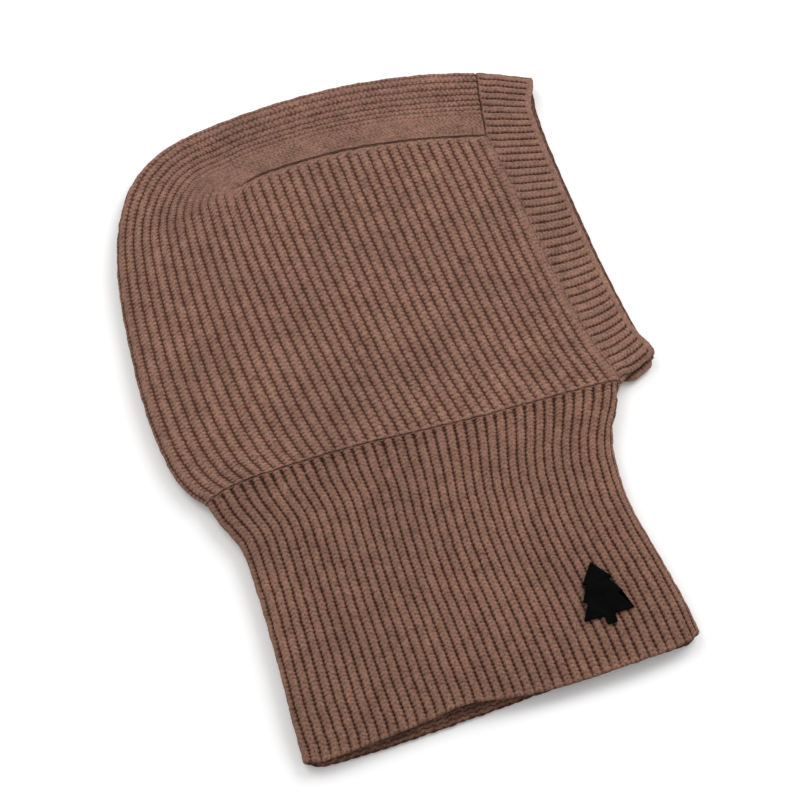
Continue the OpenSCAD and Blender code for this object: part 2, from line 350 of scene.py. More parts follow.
class Shell:
    """Grids of fabric points that become one closed mesh with an outer and an inner face.

    A grid's rows run along the ribs and its columns run across them, so that rows crossed with
    columns point out of the fabric. Grids are joined where they share an edge."""

    def __init__(self):
        self.base, self.lift, self.knit, self.count = [], [], [], 0
        self.quads, self.fans, self.inner_of, self.ring_of = [], [], {}, {}

    def grid(self, points, lift, w, c, detail=1.0):
        shape = points.shape[:2]
        ids = self.count + np.arange(shape[0] * shape[1]).reshape(shape)
        self.base.append(points.reshape(-1, 3))
        self.lift.append(np.broadcast_to(lift, shape).reshape(-1))
        marks = np.stack([np.broadcast_to(m, shape) for m in (w, c, detail)], -1)
        self.knit.append(marks.reshape(-1, 3))
        self.count += shape[0] * shape[1]
        return ids

    def skin(self, ids):
        faces = np.stack([ids[:-1, :-1], ids[1:, :-1], ids[1:, 1:], ids[:-1, 1:]], -1)
        self.quads.append(faces.reshape(-1, 4))

    def join(self, fine, coarse, marks=None, flip=False):
        """Faces between a line of many points and the line beside it, which has fewer, at marks."""
        if marks is None:
            marks = np.linspace(0, len(fine) - 1, len(coarse)).round().astype(int)
        for k in range(len(coarse) - 1):
            face = list(dict.fromkeys([*fine[marks[k]:marks[k + 1] + 1], coarse[k + 1], coarse[k]]))
            self.fans.append(face if flip else face[::-1])

    def weld(self, *grids):
        """Merges points that lie together, works out the outer face, and returns the grids' new numbers."""
        base = np.concatenate(self.base)
        _, first, back = np.unique(np.round(base / 2e-3).astype(np.int64), axis=0,
                                   return_index=True, return_inverse=True)
        back = back.reshape(-1)
        self.points = base[first]
        self.height = np.concatenate(self.lift)[first]
        self.marks = np.concatenate(self.knit)[first]
        quads = back[np.concatenate(self.quads)]
        self.fans = [list(dict.fromkeys(int(back[i]) for i in f)) for f in self.fans]
        next_same = (quads == np.roll(quads, 1, axis=1)).any(1)
        pinched = next_same | (quads[:, 0] == quads[:, 2]) | (quads[:, 1] == quads[:, 3])
        self.fans += [list(dict.fromkeys(q)) for q in quads[pinched].tolist()]
        self.fans = [f for f in self.fans if len(f) > 2]
        self.quads = [quads[~pinched]]
        a, b, c, d = (self.points[self.quads[0][:, k]] for k in range(4))
        facing = np.cross(c - a, d - b)
        normal = np.zeros_like(self.points)
        for k in range(4):
            np.add.at(normal, self.quads[0][:, k], facing)
        self.normal = normal / np.maximum(np.linalg.norm(normal, axis=1, keepdims=True), 1e-12)
        self.outer = self.points + self.normal * self.height[:, None]
        self.outer[:, 2] = np.maximum(self.outer[:, 2], TABLE_GAP)
        return [back[g] for g in grids]

    def extra(self, points, marks, height):
        ids = len(self.outer) + np.arange(len(points))
        self.outer = np.vstack([self.outer, points])
        self.marks = np.vstack([self.marks, marks])
        self.height = np.concatenate([self.height, height])
        return ids

    def line(self, ids):
        """Adds the inner face behind a grid of welded points, and returns its grid."""
        flat, spot = np.unique(ids, return_inverse=True)
        fresh = np.array([k for k in flat.tolist() if k not in self.inner_of], int)
        if len(fresh):
            behind = self.points[fresh] - self.normal[fresh] * FABRIC
            new = self.extra(behind, self.marks[fresh], np.full(len(fresh), INNER_HEIGHT))
            self.inner_of.update(zip(fresh.tolist(), new.tolist()))
        grid = np.array([self.inner_of[k] for k in flat.tolist()])[spot.reshape(-1)].reshape(ids.shape)
        faces = np.stack([grid[:-1, :-1], grid[:-1, 1:], grid[1:, 1:], grid[1:, :-1]], -1).reshape(-1, 4)
        self.fans += [f for f in (list(dict.fromkeys(q)) for q in faces.tolist()) if len(f) > 2]
        return grid

    def rim(self, edge, inner_edge, marks, out, steps=1, swell=0.4, flip=False):
        """Closes the fabric along an open edge with a rounded rim that bulges towards out."""
        top, low = self.outer[edge], self.points[edge] - self.normal[edge] * FABRIC
        middle, half = (top + low) / 2, (top - low) / 2
        radius = np.linalg.norm(half, axis=1, keepdims=True) * swell
        rows = [edge]
        for k in range(1, steps + 1):
            angle = math.pi * k / (steps + 1)
            ring = middle + half * math.cos(angle) + out * radius * math.sin(angle)
            ring[:, 2] = np.maximum(ring[:, 2], TABLE_GAP)
            fresh = [n for n, at in enumerate(edge.tolist()) if (at, k) not in self.ring_of]
            new = self.extra(ring[fresh], self.marks[edge[fresh]],
                             self.height[edge[fresh]] * (0.5 + 0.5 * math.cos(angle)))
            self.ring_of.update(((int(edge[n]), k), int(i)) for n, i in zip(fresh, new))
            rows.append(np.array([self.ring_of[(at, k)] for at in edge.tolist()]))
        for upper, lower in zip(rows[:-1], rows[1:]):
            faces = np.stack([upper[:-1], upper[1:], lower[1:], lower[:-1]], -1)
            self.quads.append(faces[:, ::-1] if flip else faces)
        self.join(rows[-1], inner_edge, marks, flip=not flip)

    def mesh(self, name, material):
        quads = np.concatenate(self.quads)
        used = np.zeros(len(self.outer), bool)
        used[quads.reshape(-1)] = True
        for f in self.fans:
            used[f] = True
        new = np.cumsum(used) - 1
        faces = new[quads].tolist() + [[int(new[i]) for i in f] for f in self.fans]
        mesh = mesh_of(name, self.outer[used], faces)
        mark_knit(mesh, np.clip(self.height[used] / TALLEST, 0, 1), self.marks[used])
        return finished(name, mesh, material)


def mesh_of(name, points, faces):
    """A new mesh from points in mm."""
    mesh = bpy.data.meshes.new(name)
    mesh.from_pydata((np.asarray(points, float) * MM).tolist(), [], faces)
    return mesh


def mark_knit(mesh, ridge, knit):
    """Stores what the wool reads at each point: the relief's height, from which the wool paints shade in the
    grooves, and its rib, course and detail.
    """
    heights = mesh.attributes.new("ridge", "FLOAT", "POINT")
    heights.data.foreach_set("value", ridge.astype(np.float32))
    places = mesh.attributes.new("knit", "FLOAT_VECTOR", "POINT")
    places.data.foreach_set("vector", knit.astype(np.float32).reshape(-1))


def finished(name, mesh, material):
    """Links a mesh as a smooth object with its material."""
    mesh.shade_smooth()
    mesh.materials.append(material)
    obj = bpy.data.objects.new(name, mesh)
    bpy.context.scene.collection.objects.link(obj)
    return obj


# ---------------------------------------------------------------- materials
def shader(name):
    """A new material, its node tree, its Principled shader and the place in the object."""
    m = bpy.data.materials.new(name)
    m.use_nodes = True
    tree = m.node_tree
    return m, tree, tree.nodes["Principled BSDF"], node(tree, "ShaderNodeTexCoord").outputs["Object"]


def node(tree, kind, inputs=(), **settings):
    """A new node with its settings, and inputs as (socket, value or output) pairs."""
    n = tree.nodes.new(kind)
    for key, value in settings.items():
        setattr(n, key, value)
    for socket, value in inputs:
        if isinstance(value, bpy.types.NodeSocket):
            tree.links.new(value, n.inputs[socket])
        else:
            n.inputs[socket].default_value = value
    return n


def math_node(tree, operation, *values):
    return node(tree, "ShaderNodeMath", list(enumerate(values)), operation=operation).outputs[0]


def ramp(tree, value, stops):
    n = node(tree, "ShaderNodeValToRGB", [(0, value)])
    n.color_ramp.elements[0].position, n.color_ramp.elements[0].color = stops[0][0], (*stops[0][1], 1)
    n.color_ramp.elements[1].position, n.color_ramp.elements[1].color = stops[-1][0], (*stops[-1][1], 1)
    for position, colour in stops[1:-1]:
        n.color_ramp.elements.new(position).color = (*colour, 1)
    return n.outputs[0]


def tint(tree, a, b, factor, blend="MIX"):
    n = node(tree, "ShaderNodeMix", data_type="RGBA", blend_type=blend)
    for socket, value in ((0, factor), (6, a), (7, b)):
        if isinstance(value, bpy.types.NodeSocket):
            tree.links.new(value, n.inputs[socket])
        else:
            n.inputs[socket].default_value = value if socket == 0 else (*value, 1)
    return n.outputs[2]


def times(tree, a, b):
    """One colour multiplied by another."""
    return tint(tree, a, b, 1.0, "MULTIPLY")


def surface(tree, p, colour, roughness, height, strength, distance):
    """Links a shader's colour, its roughness and its bump, which is distance metres high."""
    bump = node(tree, "ShaderNodeBump", [("Strength", strength), ("Distance", distance), ("Height", height)])
    for output, socket in ((colour, "Base Color"), (roughness, "Roughness"), (bump.outputs[0], "Normal")):
        tree.links.new(output, p.inputs[socket])


def noise(tree, where, scale, detail=2.0, rough=0.5):
    return node(tree, "ShaderNodeTexNoise", [("Vector", where), ("Scale", scale), ("Detail", detail),
                                             ("Roughness", rough)]).outputs[0]


def periodic(tree, value):
    """1 where value is a whole number, falling to 0 half way between."""
    wave_at = math_node(tree, "COSINE", math_node(tree, "MULTIPLY", value, math.tau))
    return math_node(tree, "MULTIPLY_ADD", wave_at, 0.5, 0.5)


def stitches(tree, loops, pits_at):
    """How far a place is into the gap between two loops of yarn, and whether it is in the column of pits at
    pits_at of half a rib from its middle. Both are from 0 to 1."""
    knit = node(tree, "ShaderNodeAttribute", attribute_name="knit").outputs["Vector"]
    w, c, detail = node(tree, "ShaderNodeSeparateXYZ", [(0, knit)]).outputs
    side = math_node(tree, "SUBTRACT", math_node(tree, "FRACT", w), 0.5)
    half = math_node(tree, "MULTIPLY", math_node(tree, "ABSOLUTE", side), 2)
    off = math_node(tree, "ABSOLUTE", math_node(tree, "SUBTRACT", half, pits_at))
    column = math_node(tree, "MAXIMUM", math_node(tree, "MULTIPLY_ADD", off, -5.5, 1.0), 0.0)
    edge = math_node(tree, "MINIMUM", math_node(tree, "MULTIPLY", side, SIDE_STEP), 1)
    edge = math_node(tree, "MAXIMUM", edge, -1)
    step = math_node(tree, "MULTIPLY_ADD", edge, loops[0], math_node(tree, "MULTIPLY", half, loops[1]))
    gaps = math_node(tree, "POWER", periodic(tree, math_node(tree, "ADD", c, step)), GAP_SHARPNESS)
    return math_node(tree, "MULTIPLY", gaps, detail), column


# The deep colour is the painted shade at the bottom of the grooves, and the pits' parameter sets how dark
# their painted shade is.
def wool(name, colour, deep, loops=TUCK_LOOPS, pits_at=0.42, pit_shade=0.7, beads=0.4):
    """Heathered wool, flecked along the yarn, with painted shade in the grooves, beaded by the loops beside
    them, and in the pits of its stitches, and with its loops and loose fibres as bump."""
    m, tree, p, where = shader(name)
    ridge = node(tree, "ShaderNodeAttribute", attribute_name="ridge").outputs["Fac"]
    gaps, column = stitches(tree, loops, pits_at)
    flecks = noise(tree, where, 900, 2, 0.7)
    hue = noise(tree, where, 380, 3, 0.75)
    broad = noise(tree, where, 26, 2)
    mottle = noise(tree, where, 130, 3, 0.6)
    loose = noise(tree, where, 330, 2)
    firm = ramp(tree, loose, [(0.36, (0.1, 0.1, 0.1)), (0.60, (1, 1, 1))])
    warm = tuple(c * k for c, k in zip(colour, (1.06, 0.98, 1.01)))
    olive = tuple(c * k for c, k in zip(colour, (0.95, 1.02, 0.90)))
    yarn = tint(tree, olive, warm, ramp(tree, hue, [(0.38, (0, 0, 0)), (0.62, (1, 1, 1))]))
    light = ramp(tree, flecks, [(0.32, (0.70, 0.70, 0.70)), (0.5, (1.0, 1.0, 1.0)),
                                (0.68, (1.36, 1.34, 1.32))])
    yarn = times(tree, yarn, light)
    patches = ramp(tree, broad, [(0.35, (0.92, 0.92, 0.92)), (0.65, (1.08, 1.07, 1.06))])
    yarn = times(tree, yarn, patches)
    mottled = ramp(tree, mottle, [(0.34, (0.90, 0.90, 0.91)), (0.66, (1.10, 1.10, 1.09))])
    yarn = times(tree, yarn, mottled)
    # Where the groove shade is painted: the relief's height, broken up by noise and by the gaps between
    # loops.
    groove_shade_mask = ridge
    for source, middle, strength in ((flecks, 0.5, 0.3), (loose, 0.5, 0.45), (mottle, 0.5, 0.38),
                                     (gaps, 0.38, -beads)):
        change = math_node(tree, "SUBTRACT", source, middle)
        groove_shade_mask = math_node(tree, "MULTIPLY_ADD", change, strength, groove_shade_mask)
    # Painted shade, darker down in the grooves by the relief's height, with a little painted light on the rib
    # tops.
    depth = ramp(tree, groove_shade_mask, [(0.0, deep), (0.34, (0.52, 0.42, 0.37)), (0.58, (0.95, 0.93, 0.92)),
                                (0.95, (1.08, 1.08, 1.08))])
    yarn = times(tree, yarn, depth)
    # Painted shade in the pits between loops, strongest in their column of pits, with the rest a touch
    # lighter.
    pit_columns = math_node(tree, "MULTIPLY_ADD", column, 0.88, 0.12)
    pits = math_node(tree, "MULTIPLY", math_node(tree, "MULTIPLY", gaps, pit_columns), firm)
    painted_pit_shade = ramp(tree, pits, [(0.08, (1.06, 1.06, 1.06)),
                               (0.8, (1 - pit_shade, 0.94 - pit_shade, 0.91 - pit_shade))])
    fibres = noise(tree, where, 2400, 3, 0.7)
    height = math_node(tree, "MULTIPLY_ADD", pits, -2.2, math_node(tree, "MULTIPLY_ADD", gaps, -0.3, fibres))
    rough = math_node(tree, "MULTIPLY_ADD", flecks, -0.12, 0.98)
    surface(tree, p, times(tree, yarn, painted_pit_shade), rough, height, 0.7, 0.0003)
    p.inputs["Specular IOR Level"].default_value = 0.2
    p.inputs["Sheen Weight"].default_value = 0.12
    p.inputs["Sheen Roughness"].default_value = 0.45
    p.inputs["Sheen Tint"].default_value = (0.85, 0.68, 0.58, 1)
    return m


def soft_black():
    """Matt black rubber with a fine moulded grain."""
    m, tree, p, where = shader("soft_black")
    grain = noise(tree, where, 2400, 3, 0.6)
    shade = ramp(tree, noise(tree, where, 160, 3), [(0.3, (0.0018, 0.0018, 0.0020)),
                                                    (0.7, (0.0036, 0.0035, 0.0036))])
    surface(tree, p, shade, math_node(tree, "MULTIPLY_ADD", grain, 0.3, 0.42), grain, 0.25, 0.0002)
    p.inputs["Specular IOR Level"].default_value = 0.01
    return m


def brushed_steel():
    """Steel with fine turning marks and light wear."""
    m, tree, p, where = shader("brushed_steel")
    stretched = node(tree, "ShaderNodeMapping", [("Vector", where), ("Scale", (1, 12, 12))]).outputs[0]
    marks = noise(tree, stretched, 500, 4, 0.7)
    shade = ramp(tree, marks, [(0.3, (0.48, 0.48, 0.5)), (0.7, (0.68, 0.68, 0.7))])
    surface(tree, p, shade, math_node(tree, "MULTIPLY_ADD", marks, 0.3, 0.25), marks, 0.2, 0.0001)
    p.inputs["Metallic"].default_value = 1.0
    return m


WEFT_PITCH = 0.5 * MM
WARP_PITCH = 0.3 * MM


def woven_tape():
    """Satin label tape: fine weft ribs crossed by warp threads, with a soft sheen."""
    m, tree, p, where = shader("woven_tape")
    x, y, _ = node(tree, "ShaderNodeSeparateXYZ", [(0, where)]).outputs
    weft = math_node(tree, "SINE", math_node(tree, "MULTIPLY", x, math.tau / WEFT_PITCH))
    warp = math_node(tree, "SINE", math_node(tree, "MULTIPLY", y, math.tau / WARP_PITCH))
    weave = math_node(tree, "MULTIPLY", weft, warp)
    mottle = noise(tree, where, 300, 3)
    shade = ramp(tree, mottle, [(0.3, (0.72, 0.69, 0.62)), (0.7, (0.82, 0.79, 0.73))])
    surface(tree, p, shade, math_node(tree, "MULTIPLY_ADD", mottle, 0.2, 0.45), weave, 0.5, 0.0001)
    p.inputs["Sheen Weight"].default_value = 0.3
    return m


# The second colour given to each wool is the painted shade at the bottom of its grooves.
HOOD_WOOL = wool("hood_wool", (0.212, 0.116, 0.089), (0.30, 0.19, 0.14), pit_shade=0.42, beads=0.25)
NECK_WOOL = wool("neck_wool", (0.196, 0.105, 0.079), (0.16, 0.09, 0.06), PLAIN_LOOPS,
                 pits_at=0.0, pit_shade=0.38, beads=0.22)
BAND_WOOL = wool("band_wool", (0.209, 0.115, 0.089), (0.26, 0.17, 0.12), PLAIN_LOOPS,
                 pits_at=0.0, pit_shade=0.33, beads=0.16)
# The seam wool is darker than the knit beside it, as painted shade for the crease that the seam sits in.
SHADED_SEAM_WOOL = wool("seam_wool_shaded", (0.165, 0.088, 0.066), (0.5, 0.4, 0.35), pit_shade=0.0, beads=0)
THREAD = wool("label_thread", (0.205, 0.124, 0.092), (0.6, 0.55, 0.5), pit_shade=0.0, beads=0)
TAPE = woven_tape()
BLACK = soft_black()
STEEL = brushed_steel()


def belongs(obj, slot, *nodes, body="hood"):
    """Gives a piece its body and hides the CAD nodes that it stands for; the slot argument is not used."""
    if body:
        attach(obj, body)
    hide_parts(*nodes)
    return obj


# ---------------------------------------------------------------- the hood
def hood():
    shell = Shell()
    mark = share_at(NECK_SEAM, NECK_SEAM_MARK)
    side_w = rib_samples(0, HOOD_RIBS_SIDE)
    u = side_w / HOOD_RIBS_SIDE
    rows = HOOD_COURSES * ROWS_PER_COURSE
    v = np.linspace(0, 1, rows + 1)
    bottom, crown = even_curve(NECK_SEAM, u * mark), even_curve(CROWN_SEAM, 1 - u)
    right = even_curve(FACE_SEAM_SIDE, v)
    left = np.column_stack([mix(bottom[-1, 0], crown[-1, 0], 1 - (1 - v) ** BACK_BEND),
                            mix(bottom[-1, 1], crown[-1, 1], v)])
    across, upward = u[None, :, None], v[:, None, None]
    side = ((1 - upward) * bottom[None] + upward * crown[None]
            + (1 - across) * right[:, None] + across * left[:, None]
            - (1 - across) * (1 - upward) * bottom[0] - across * (1 - upward) * bottom[-1]
            - (1 - across) * upward * crown[0] - across * upward * crown[-1])

    def side_layer(above, w, row, col):
        """One layer of the side of the hood, from the neck seam up to the crown seam."""
        xy = side[np.ix_(row, col)]
        side_ribs, c = side_w[col][None, :], (v[row] * HOOD_COURSES)[:, None]
        loops = wandering(w, c)
        high = 0.02 + 0.48 * turned(np.linalg.norm(xy - np.array(CHIN), axis=-1), FOLD)
        points = place(xy, 0.5 + high if above else 0.5 - high)
        to_crown = (HOOD_COURSES - c) * HOOD_COURSE
        deep = smooth(HOOD_RIBS_SIDE - side_ribs, 0, 1.2)
        bound = bell(to_crown, 2.0, 1.7)
        lift = mix(fisherman_rib(w, loops), 1.0 + 0.07 * np.cos(math.tau * side_ribs * 3), bound)
        linked = 1 - smooth(side_ribs, 0.45, 1.15)
        lift = mix(lift, flat_knit(w, loops) + 0.12, linked) - 0.2 * bell(side_ribs, 0, 0.14)
        lift = linked_edge(lift, w, c) - GROOVE_DEPTH * bell(to_crown, 0, GROOVE_WIDTH) * deep
        return points, lift - 0.5 * bell(c, 0, 0.16), w, loops

    # the wrap: the back, the corner and the crown strip, over the fold and back underneath
    out_a, out_b = share_at(HOOD_FOLD, CORNER_LOW), share_at(HOOD_FOLD, CORNER_HIGH)
    corner_rows = CORNER_COURSES * ROWS_PER_COURSE
    corner = np.linspace(0, 1, corner_rows + 1)[1:]
    along = 1 - np.flip(u)[1:]
    inner = np.vstack([left, np.repeat(left[-1:], corner_rows, 0), np.flip(crown, 0)[1:]])
    outer = even_curve(HOOD_FOLD, np.concatenate([v * out_a, out_a + corner * (out_b - out_a),
                                                  out_b + along * (1 - out_b)]))
    stage = np.concatenate([v, 1 + corner, 2 + along])
    courses = np.concatenate([v * HOOD_COURSES, HOOD_COURSES + corner * CORNER_COURSES,
                              HOOD_COURSES + CORNER_COURSES + along * CROWN_COURSES])
    t_bow = np.linspace(0, 1, 200)
    seam_end = even_curve(NECK_SEAM, mark + (1 - mark) * t_bow)
    bow = seam_end - (seam_end[0] + (seam_end[-1] - seam_end[0]) * t_bow[:, None])

    def wrap(w, row):
        """The wrap's points for some ribs and rows. g runs over the fold, from 0 on the upper layer to 2."""
        w = w[None, :]
        g = (w - HOOD_RIBS_SIDE) / (HOOD_RIBS_WRAP / 2)
        at, c = stage[row][:, None], courses[row][:, None]
        loops = wandering(w, c)
        step = outer[row] - inner[row]
        reach = np.linalg.norm(step, axis=1)[:, None]
        near = np.minimum(g, 2 - g)
        squeeze = 1 + 0.5 * smooth(at, 1, 2)
        run = reach - FOLD + math.pi * FOLD / 2
        a = np.clip(near, 0, 1) ** squeeze * run
        turn = np.clip((a - reach + FOLD) / FOLD, 0, math.pi / 2)
        plan = np.where(turn > 0, reach - FOLD + FOLD * np.sin(turn), a)
        high = np.where(g > 1, 0.5 - 0.5 * np.cos(turn), 0.5 + 0.5 * np.cos(turn))
        t = plan / reach
        fade = (1 - np.clip(at, 0, 1)) ** 9
        shift = read_at(t, t_bow, bow) * fade[..., None]
        xy = inner[row][:, None] + step[:, None] * t[..., None] + shift
        points = place(xy, high)
        strip = smooth(at, 1.15, 2.0) * (1 - 0.5 * smooth(at, 2.8, 3.0))
        swell = (-1.5 * bell(near, 0.62, 0.15) + 0.7 * bell(near, 0.86, 0.10)
                 + 0.5 * bell(near, 0.25, 0.16) * smooth(at, 2.05, 2.6))
        points[..., 2] += smooth(high, 0.5, 1.0) * (g < 1) * strip * swell * smooth(near, 0, 0.12)
        away = near * reach
        calm = (1 - smooth(near, 0.34, 0.66)) * smooth(at, 0.75, 1.5)
        calm = np.maximum(calm, (1 - smooth(away, 3, 16)) * smooth(at, 0.94, 1.0))
        lift = mix(fisherman_rib(w, loops), flat_knit(w, loops), np.maximum(calm, 0.4 * strip))
        beside = smooth(HOOD_RIBS_SIDE * (at - 2), 0, 1.2)
        lift = lift - GROOVE_DEPTH * beside * bell(away, 0, GROOVE_WIDTH)
        lift = lift + 0.15 * beside * bell(away, 2.4, 1.5)
        lift = linked_edge(lift, w, c) - 1.2 * bell(c, courses[-1], 0.3) - 0.5 * bell(c, 0, 0.16)
        crowded = smooth(at, 0.9, 1.15) * (1 - smooth(at, 1.98, 2.05))
        return points, lift, w, loops, mix(1, smooth(away, 7, 24), crowded)

    every, every_col = np.arange(len(stage)), np.arange(len(side_w))
    end = HOOD_RIBS_SIDE + HOOD_RIBS_WRAP
    split = HOOD_RIBS_SIDE + HOOD_RIBS_FINE
    up = shell.grid(*side_layer(True, side_w[None, :], every[:rows + 1], every_col))
    over = shell.grid(*wrap(rib_samples(HOOD_RIBS_SIDE, split), every))
    under = shell.grid(*wrap(rib_samples(split, end, 2), every[::2]))
    low_w = (end + HOOD_RIBS_SIDE - side_w[::2])[None, :]
    low = shell.grid(*side_layer(False, low_w, every[:rows + 1:2], every_col[::2]))
    shell.skin(up)
    shell.skin(over)
    shell.skin(under[:, 1:])
    shell.join(over[:, -1], under[:, 1])
    shell.skin(low[:, ::-1])
    up, over, under, low = shell.weld(up, over, under, low)

    low = low[:, ::-1]
    tail = np.column_stack([over[::2, -1], under[:, 1:]])
    cols = picks(tail.shape[1], INNER_COLUMNS)
    joint = rows + corner_rows
    lined = np.array([*range(0, joint, INNER_ROWS), *range(joint, len(stage), 2 * INNER_COLUMNS)])
    in_up = shell.line(up[::INNER_ROWS, ::INNER_COLUMNS])
    in_over = shell.line(over[lined, INNER_COLUMNS::INNER_COLUMNS])
    pivot = np.full(corner_rows // INNER_ROWS, in_up[-1, -1])
    edge = np.concatenate([in_up[:, -1], pivot, in_up[-1, ::-1][1:]])
    turn = joint // INNER_ROWS
    marks = [*range(turn + 1), *range(turn + 2, len(edge), 2)]
    shell.join(edge, in_over[:, 0], marks)
    in_over = np.column_stack([edge[marks], in_over])
    in_tail = shell.line(tail[lined // 2][:, cols])
    in_low = shell.line(low[::INNER_ROWS // 2, ::INNER_COLUMNS])
    down, ahead = np.array([0, -1.0, 0]), np.array([1.0, 0, 0])
    for edge, inside, marks, out, flip in (
            (up[0], in_up[0], None, down, False), (over[0], in_over[0], None, down, False),
            (tail[0], in_tail[0], cols, down, False), (low[0], in_low[0], None, down, False),
            (over[-1], in_over[-1], None, ahead, True), (tail[-1], in_tail[-1], cols, ahead, True),
            (up[:, 0], in_up[:, 0], None, ahead, True), (low[:, -1], in_low[:, -1], None, ahead, False)):
        shell.rim(edge, inside, marks, out, flip=flip)
    return shell.mesh("hood_knit", HOOD_WOOL)


# ---------------------------------------------------------------- knitted rings: the neck and the face band
def lips(parted):
    """The front fold's upper and lower halves: a plain fold at 0, two parted lips at 1."""
    plain = np.array(PLAIN_LIP)
    plain_low = np.column_stack([plain[:, 0], 1 - plain[:, 1]])
    return mix(plain, np.array(UPPER_LIP), parted), mix(plain_low, np.array(LOWER_LIP), parted)


def ring_profile(length, lip, low_lip):
    """Outline across a flattened tube, from its front lip over the top, round the far fold and back
    underneath, as (distance from the front, share of the height) points."""
    t = np.linspace(0, 1, LIP_POINTS)
    turn = np.linspace(0, math.pi, LIP_POINTS)
    far = np.column_stack([length - FOLD + FOLD * np.sin(turn), 0.5 + 0.5 * np.cos(turn)])
    upper, lower = curve(lip, t), curve(low_lip, t)[::-1]
    there = np.linspace(lip[-1][0], length - FOLD, FLAT_POINTS)[1:-1]
    back = np.linspace(length - FOLD, low_lip[-1][0], FLAT_POINTS)[1:-1]
    top, low = np.column_stack([there, np.ones_like(there)]), np.column_stack([back, np.zeros_like(back)])
    return np.vstack([upper, top, far, low, lower])


def ring_row(points, w, ribs, pitch):
    """Points at rib coordinates w round a closed line, where pitch is the rib width at each of its points.
    The line's first and last LIP_POINTS are its front lip, which always takes LIP_RIBS on each side."""
    steps = np.diff(run_of(points)) / ((pitch[1:] + pitch[:-1]) / 2)
    n = LIP_POINTS - 1
    for part, share in ((slice(0, n), LIP_RIBS), (slice(-n, None), LIP_RIBS),
                        (slice(n, -n), ribs - 2 * LIP_RIBS)):
        steps[part] *= share / steps[part].sum()
    count = np.concatenate([[0], np.cumsum(steps)])
    return read_at(np.mod(w, ribs), count, points)


def neck_points(v, w):
    """A row of the neck, at share v of the way from the hem to the seam."""
    front, back = even_curve(NECK_FRONT, v), even_curve(NECK_BACK, v)
    length = np.linalg.norm(back - front)
    s, h = ring_profile(length, *lips(0.6 * smooth(v, 0.78, 0.9) * (1 - smooth(v, 0.93, 1.0)))).T
    t = s / length
    xy = front + (back - front) * t[:, None]
    seam = even_curve(NECK_SEAM, np.concatenate([[0, 1], t]))
    xy = xy + (seam[2:] - seam[0] - (seam[1] - seam[0]) * t[:, None]) * v ** 4
    corner = HEM_CORNER * (bell(t, 0, 0.022) + bell(t, 1, 0.022)) * (1 - v) ** 20
    xy[:, 1] += (1 - v) ** 4 * (h * wave(HEM_UPPER, t) + (1 - h) * wave(HEM_LOWER, t)) + corner
    rise = HEM_RISE * bell(t, HEM_RISE_AT, HEM_RISE_WIDTH) * (1 - v) ** 6
    return ring_row(place(xy, h, rise), w, NECK_RIBS, np.ones(len(t)))


def neck():
    shell = Shell()
    rows = NECK_COURSES * ROWS_PER_COURSE
    v = np.linspace(0, 1, rows + 1)

    def part(w, row):
        points = np.stack([neck_points(v[k], w) for k in row])
        w, c = w[None, :], (v[row] * NECK_COURSES)[:, None]
        a, loops = rib_phase(w), wandering(w, c)
        lift = plain_rib(w, loops)
        lift = lift - 0.3 * a ** 3 * bell(c, NECK_COURSES - 0.8, 1.2)
        lift = lift - 0.7 * bell(c, NECK_COURSES, 0.35) - 0.2 * bell(c, NECK_COURSES, 3)
        lift = mix(lift, 1.1 - 0.5 * a ** 2, 0.6 * bell(c, 0.4, 0.5))
        return points, lift, w, loops

    first, split = NECK_RIBS_FINE
    over = shell.grid(*part(rib_samples(first, split), np.arange(rows + 1)))
    under = shell.grid(*part(rib_samples(split, first + NECK_RIBS, 2), np.arange(0, rows + 1, 2)))
    shell.skin(over)
    shell.skin(under[:, 1:-1])
    shell.join(over[:, -1], under[:, 1])
    shell.join(over[:, 0], under[:, -2], flip=True)
    over, under = shell.weld(over, under)
    tail = np.column_stack([over[::2, -1], under[:, 1:-1], over[::2, 0]])
    cols = picks(tail.shape[1], INNER_COLUMNS)
    row_picks, half_picks = picks(rows + 1, INNER_ROWS), picks(rows // 2 + 1, INNER_ROWS // 2)
    in_over, in_tail = shell.line(over[row_picks][:, ::INNER_COLUMNS]), shell.line(tail[half_picks][:, cols])
    down = np.array([0, -1.0, 0])
    for end, out, steps, swell, flip in ((0, down, 3, 0.7, False), (-1, -down, 1, 0.4, True)):
        shell.rim(over[end], in_over[end], None, out, steps, swell, flip)
        shell.rim(tail[end], in_tail[end], cols, out, steps, swell, flip)
    return shell.mesh("neck_knit", NECK_WOOL)


def face_seam(t):
    """Seam of the face band, with t as the share of its length from the chin to the crown."""
    side, crown = length_of(FACE_SEAM_SIDE), length_of(FACE_SEAM_CROWN)
    s = np.asarray(t, float) * (side + crown)
    return np.where((s <= side)[..., None], even_curve(FACE_SEAM_SIDE, np.clip(s / side, 0, 1)),
                    even_curve(FACE_SEAM_CROWN, np.clip((s - side) / crown, 0, 1)))


def band_points(b, w):
    """A row of the face band, at share b of the way from the seam to the free edge."""
    t = np.linspace(0, 1, 600)
    line = face_seam(t) * (1 - b) + even_curve(FACE_EDGE, t) * b
    run = run_of(line)
    s, h = ring_profile(run[-1], *lips(smooth(b, 0.05, 0.45) * (1 - 0.85 * smooth(b, 0.82, 1.0)))).T
    xy = read_at(s, run, line) + np.clip(-s, 0, None)[:, None] * unit(line[0] - line[6])
    xy[:, 0] -= UPPER_EDGE_INSET * b * h * smooth(s, -2, 24) * (1 - smooth(s, run[-1] - 22, run[-1] - 4))
    place_at = np.clip(s / run[-1], 0, 1)
    return ring_row(place(xy, h), w, BAND_RIBS, 0.92 + 0.2 * np.sin(math.pi * place_at) - 0.1 * place_at)


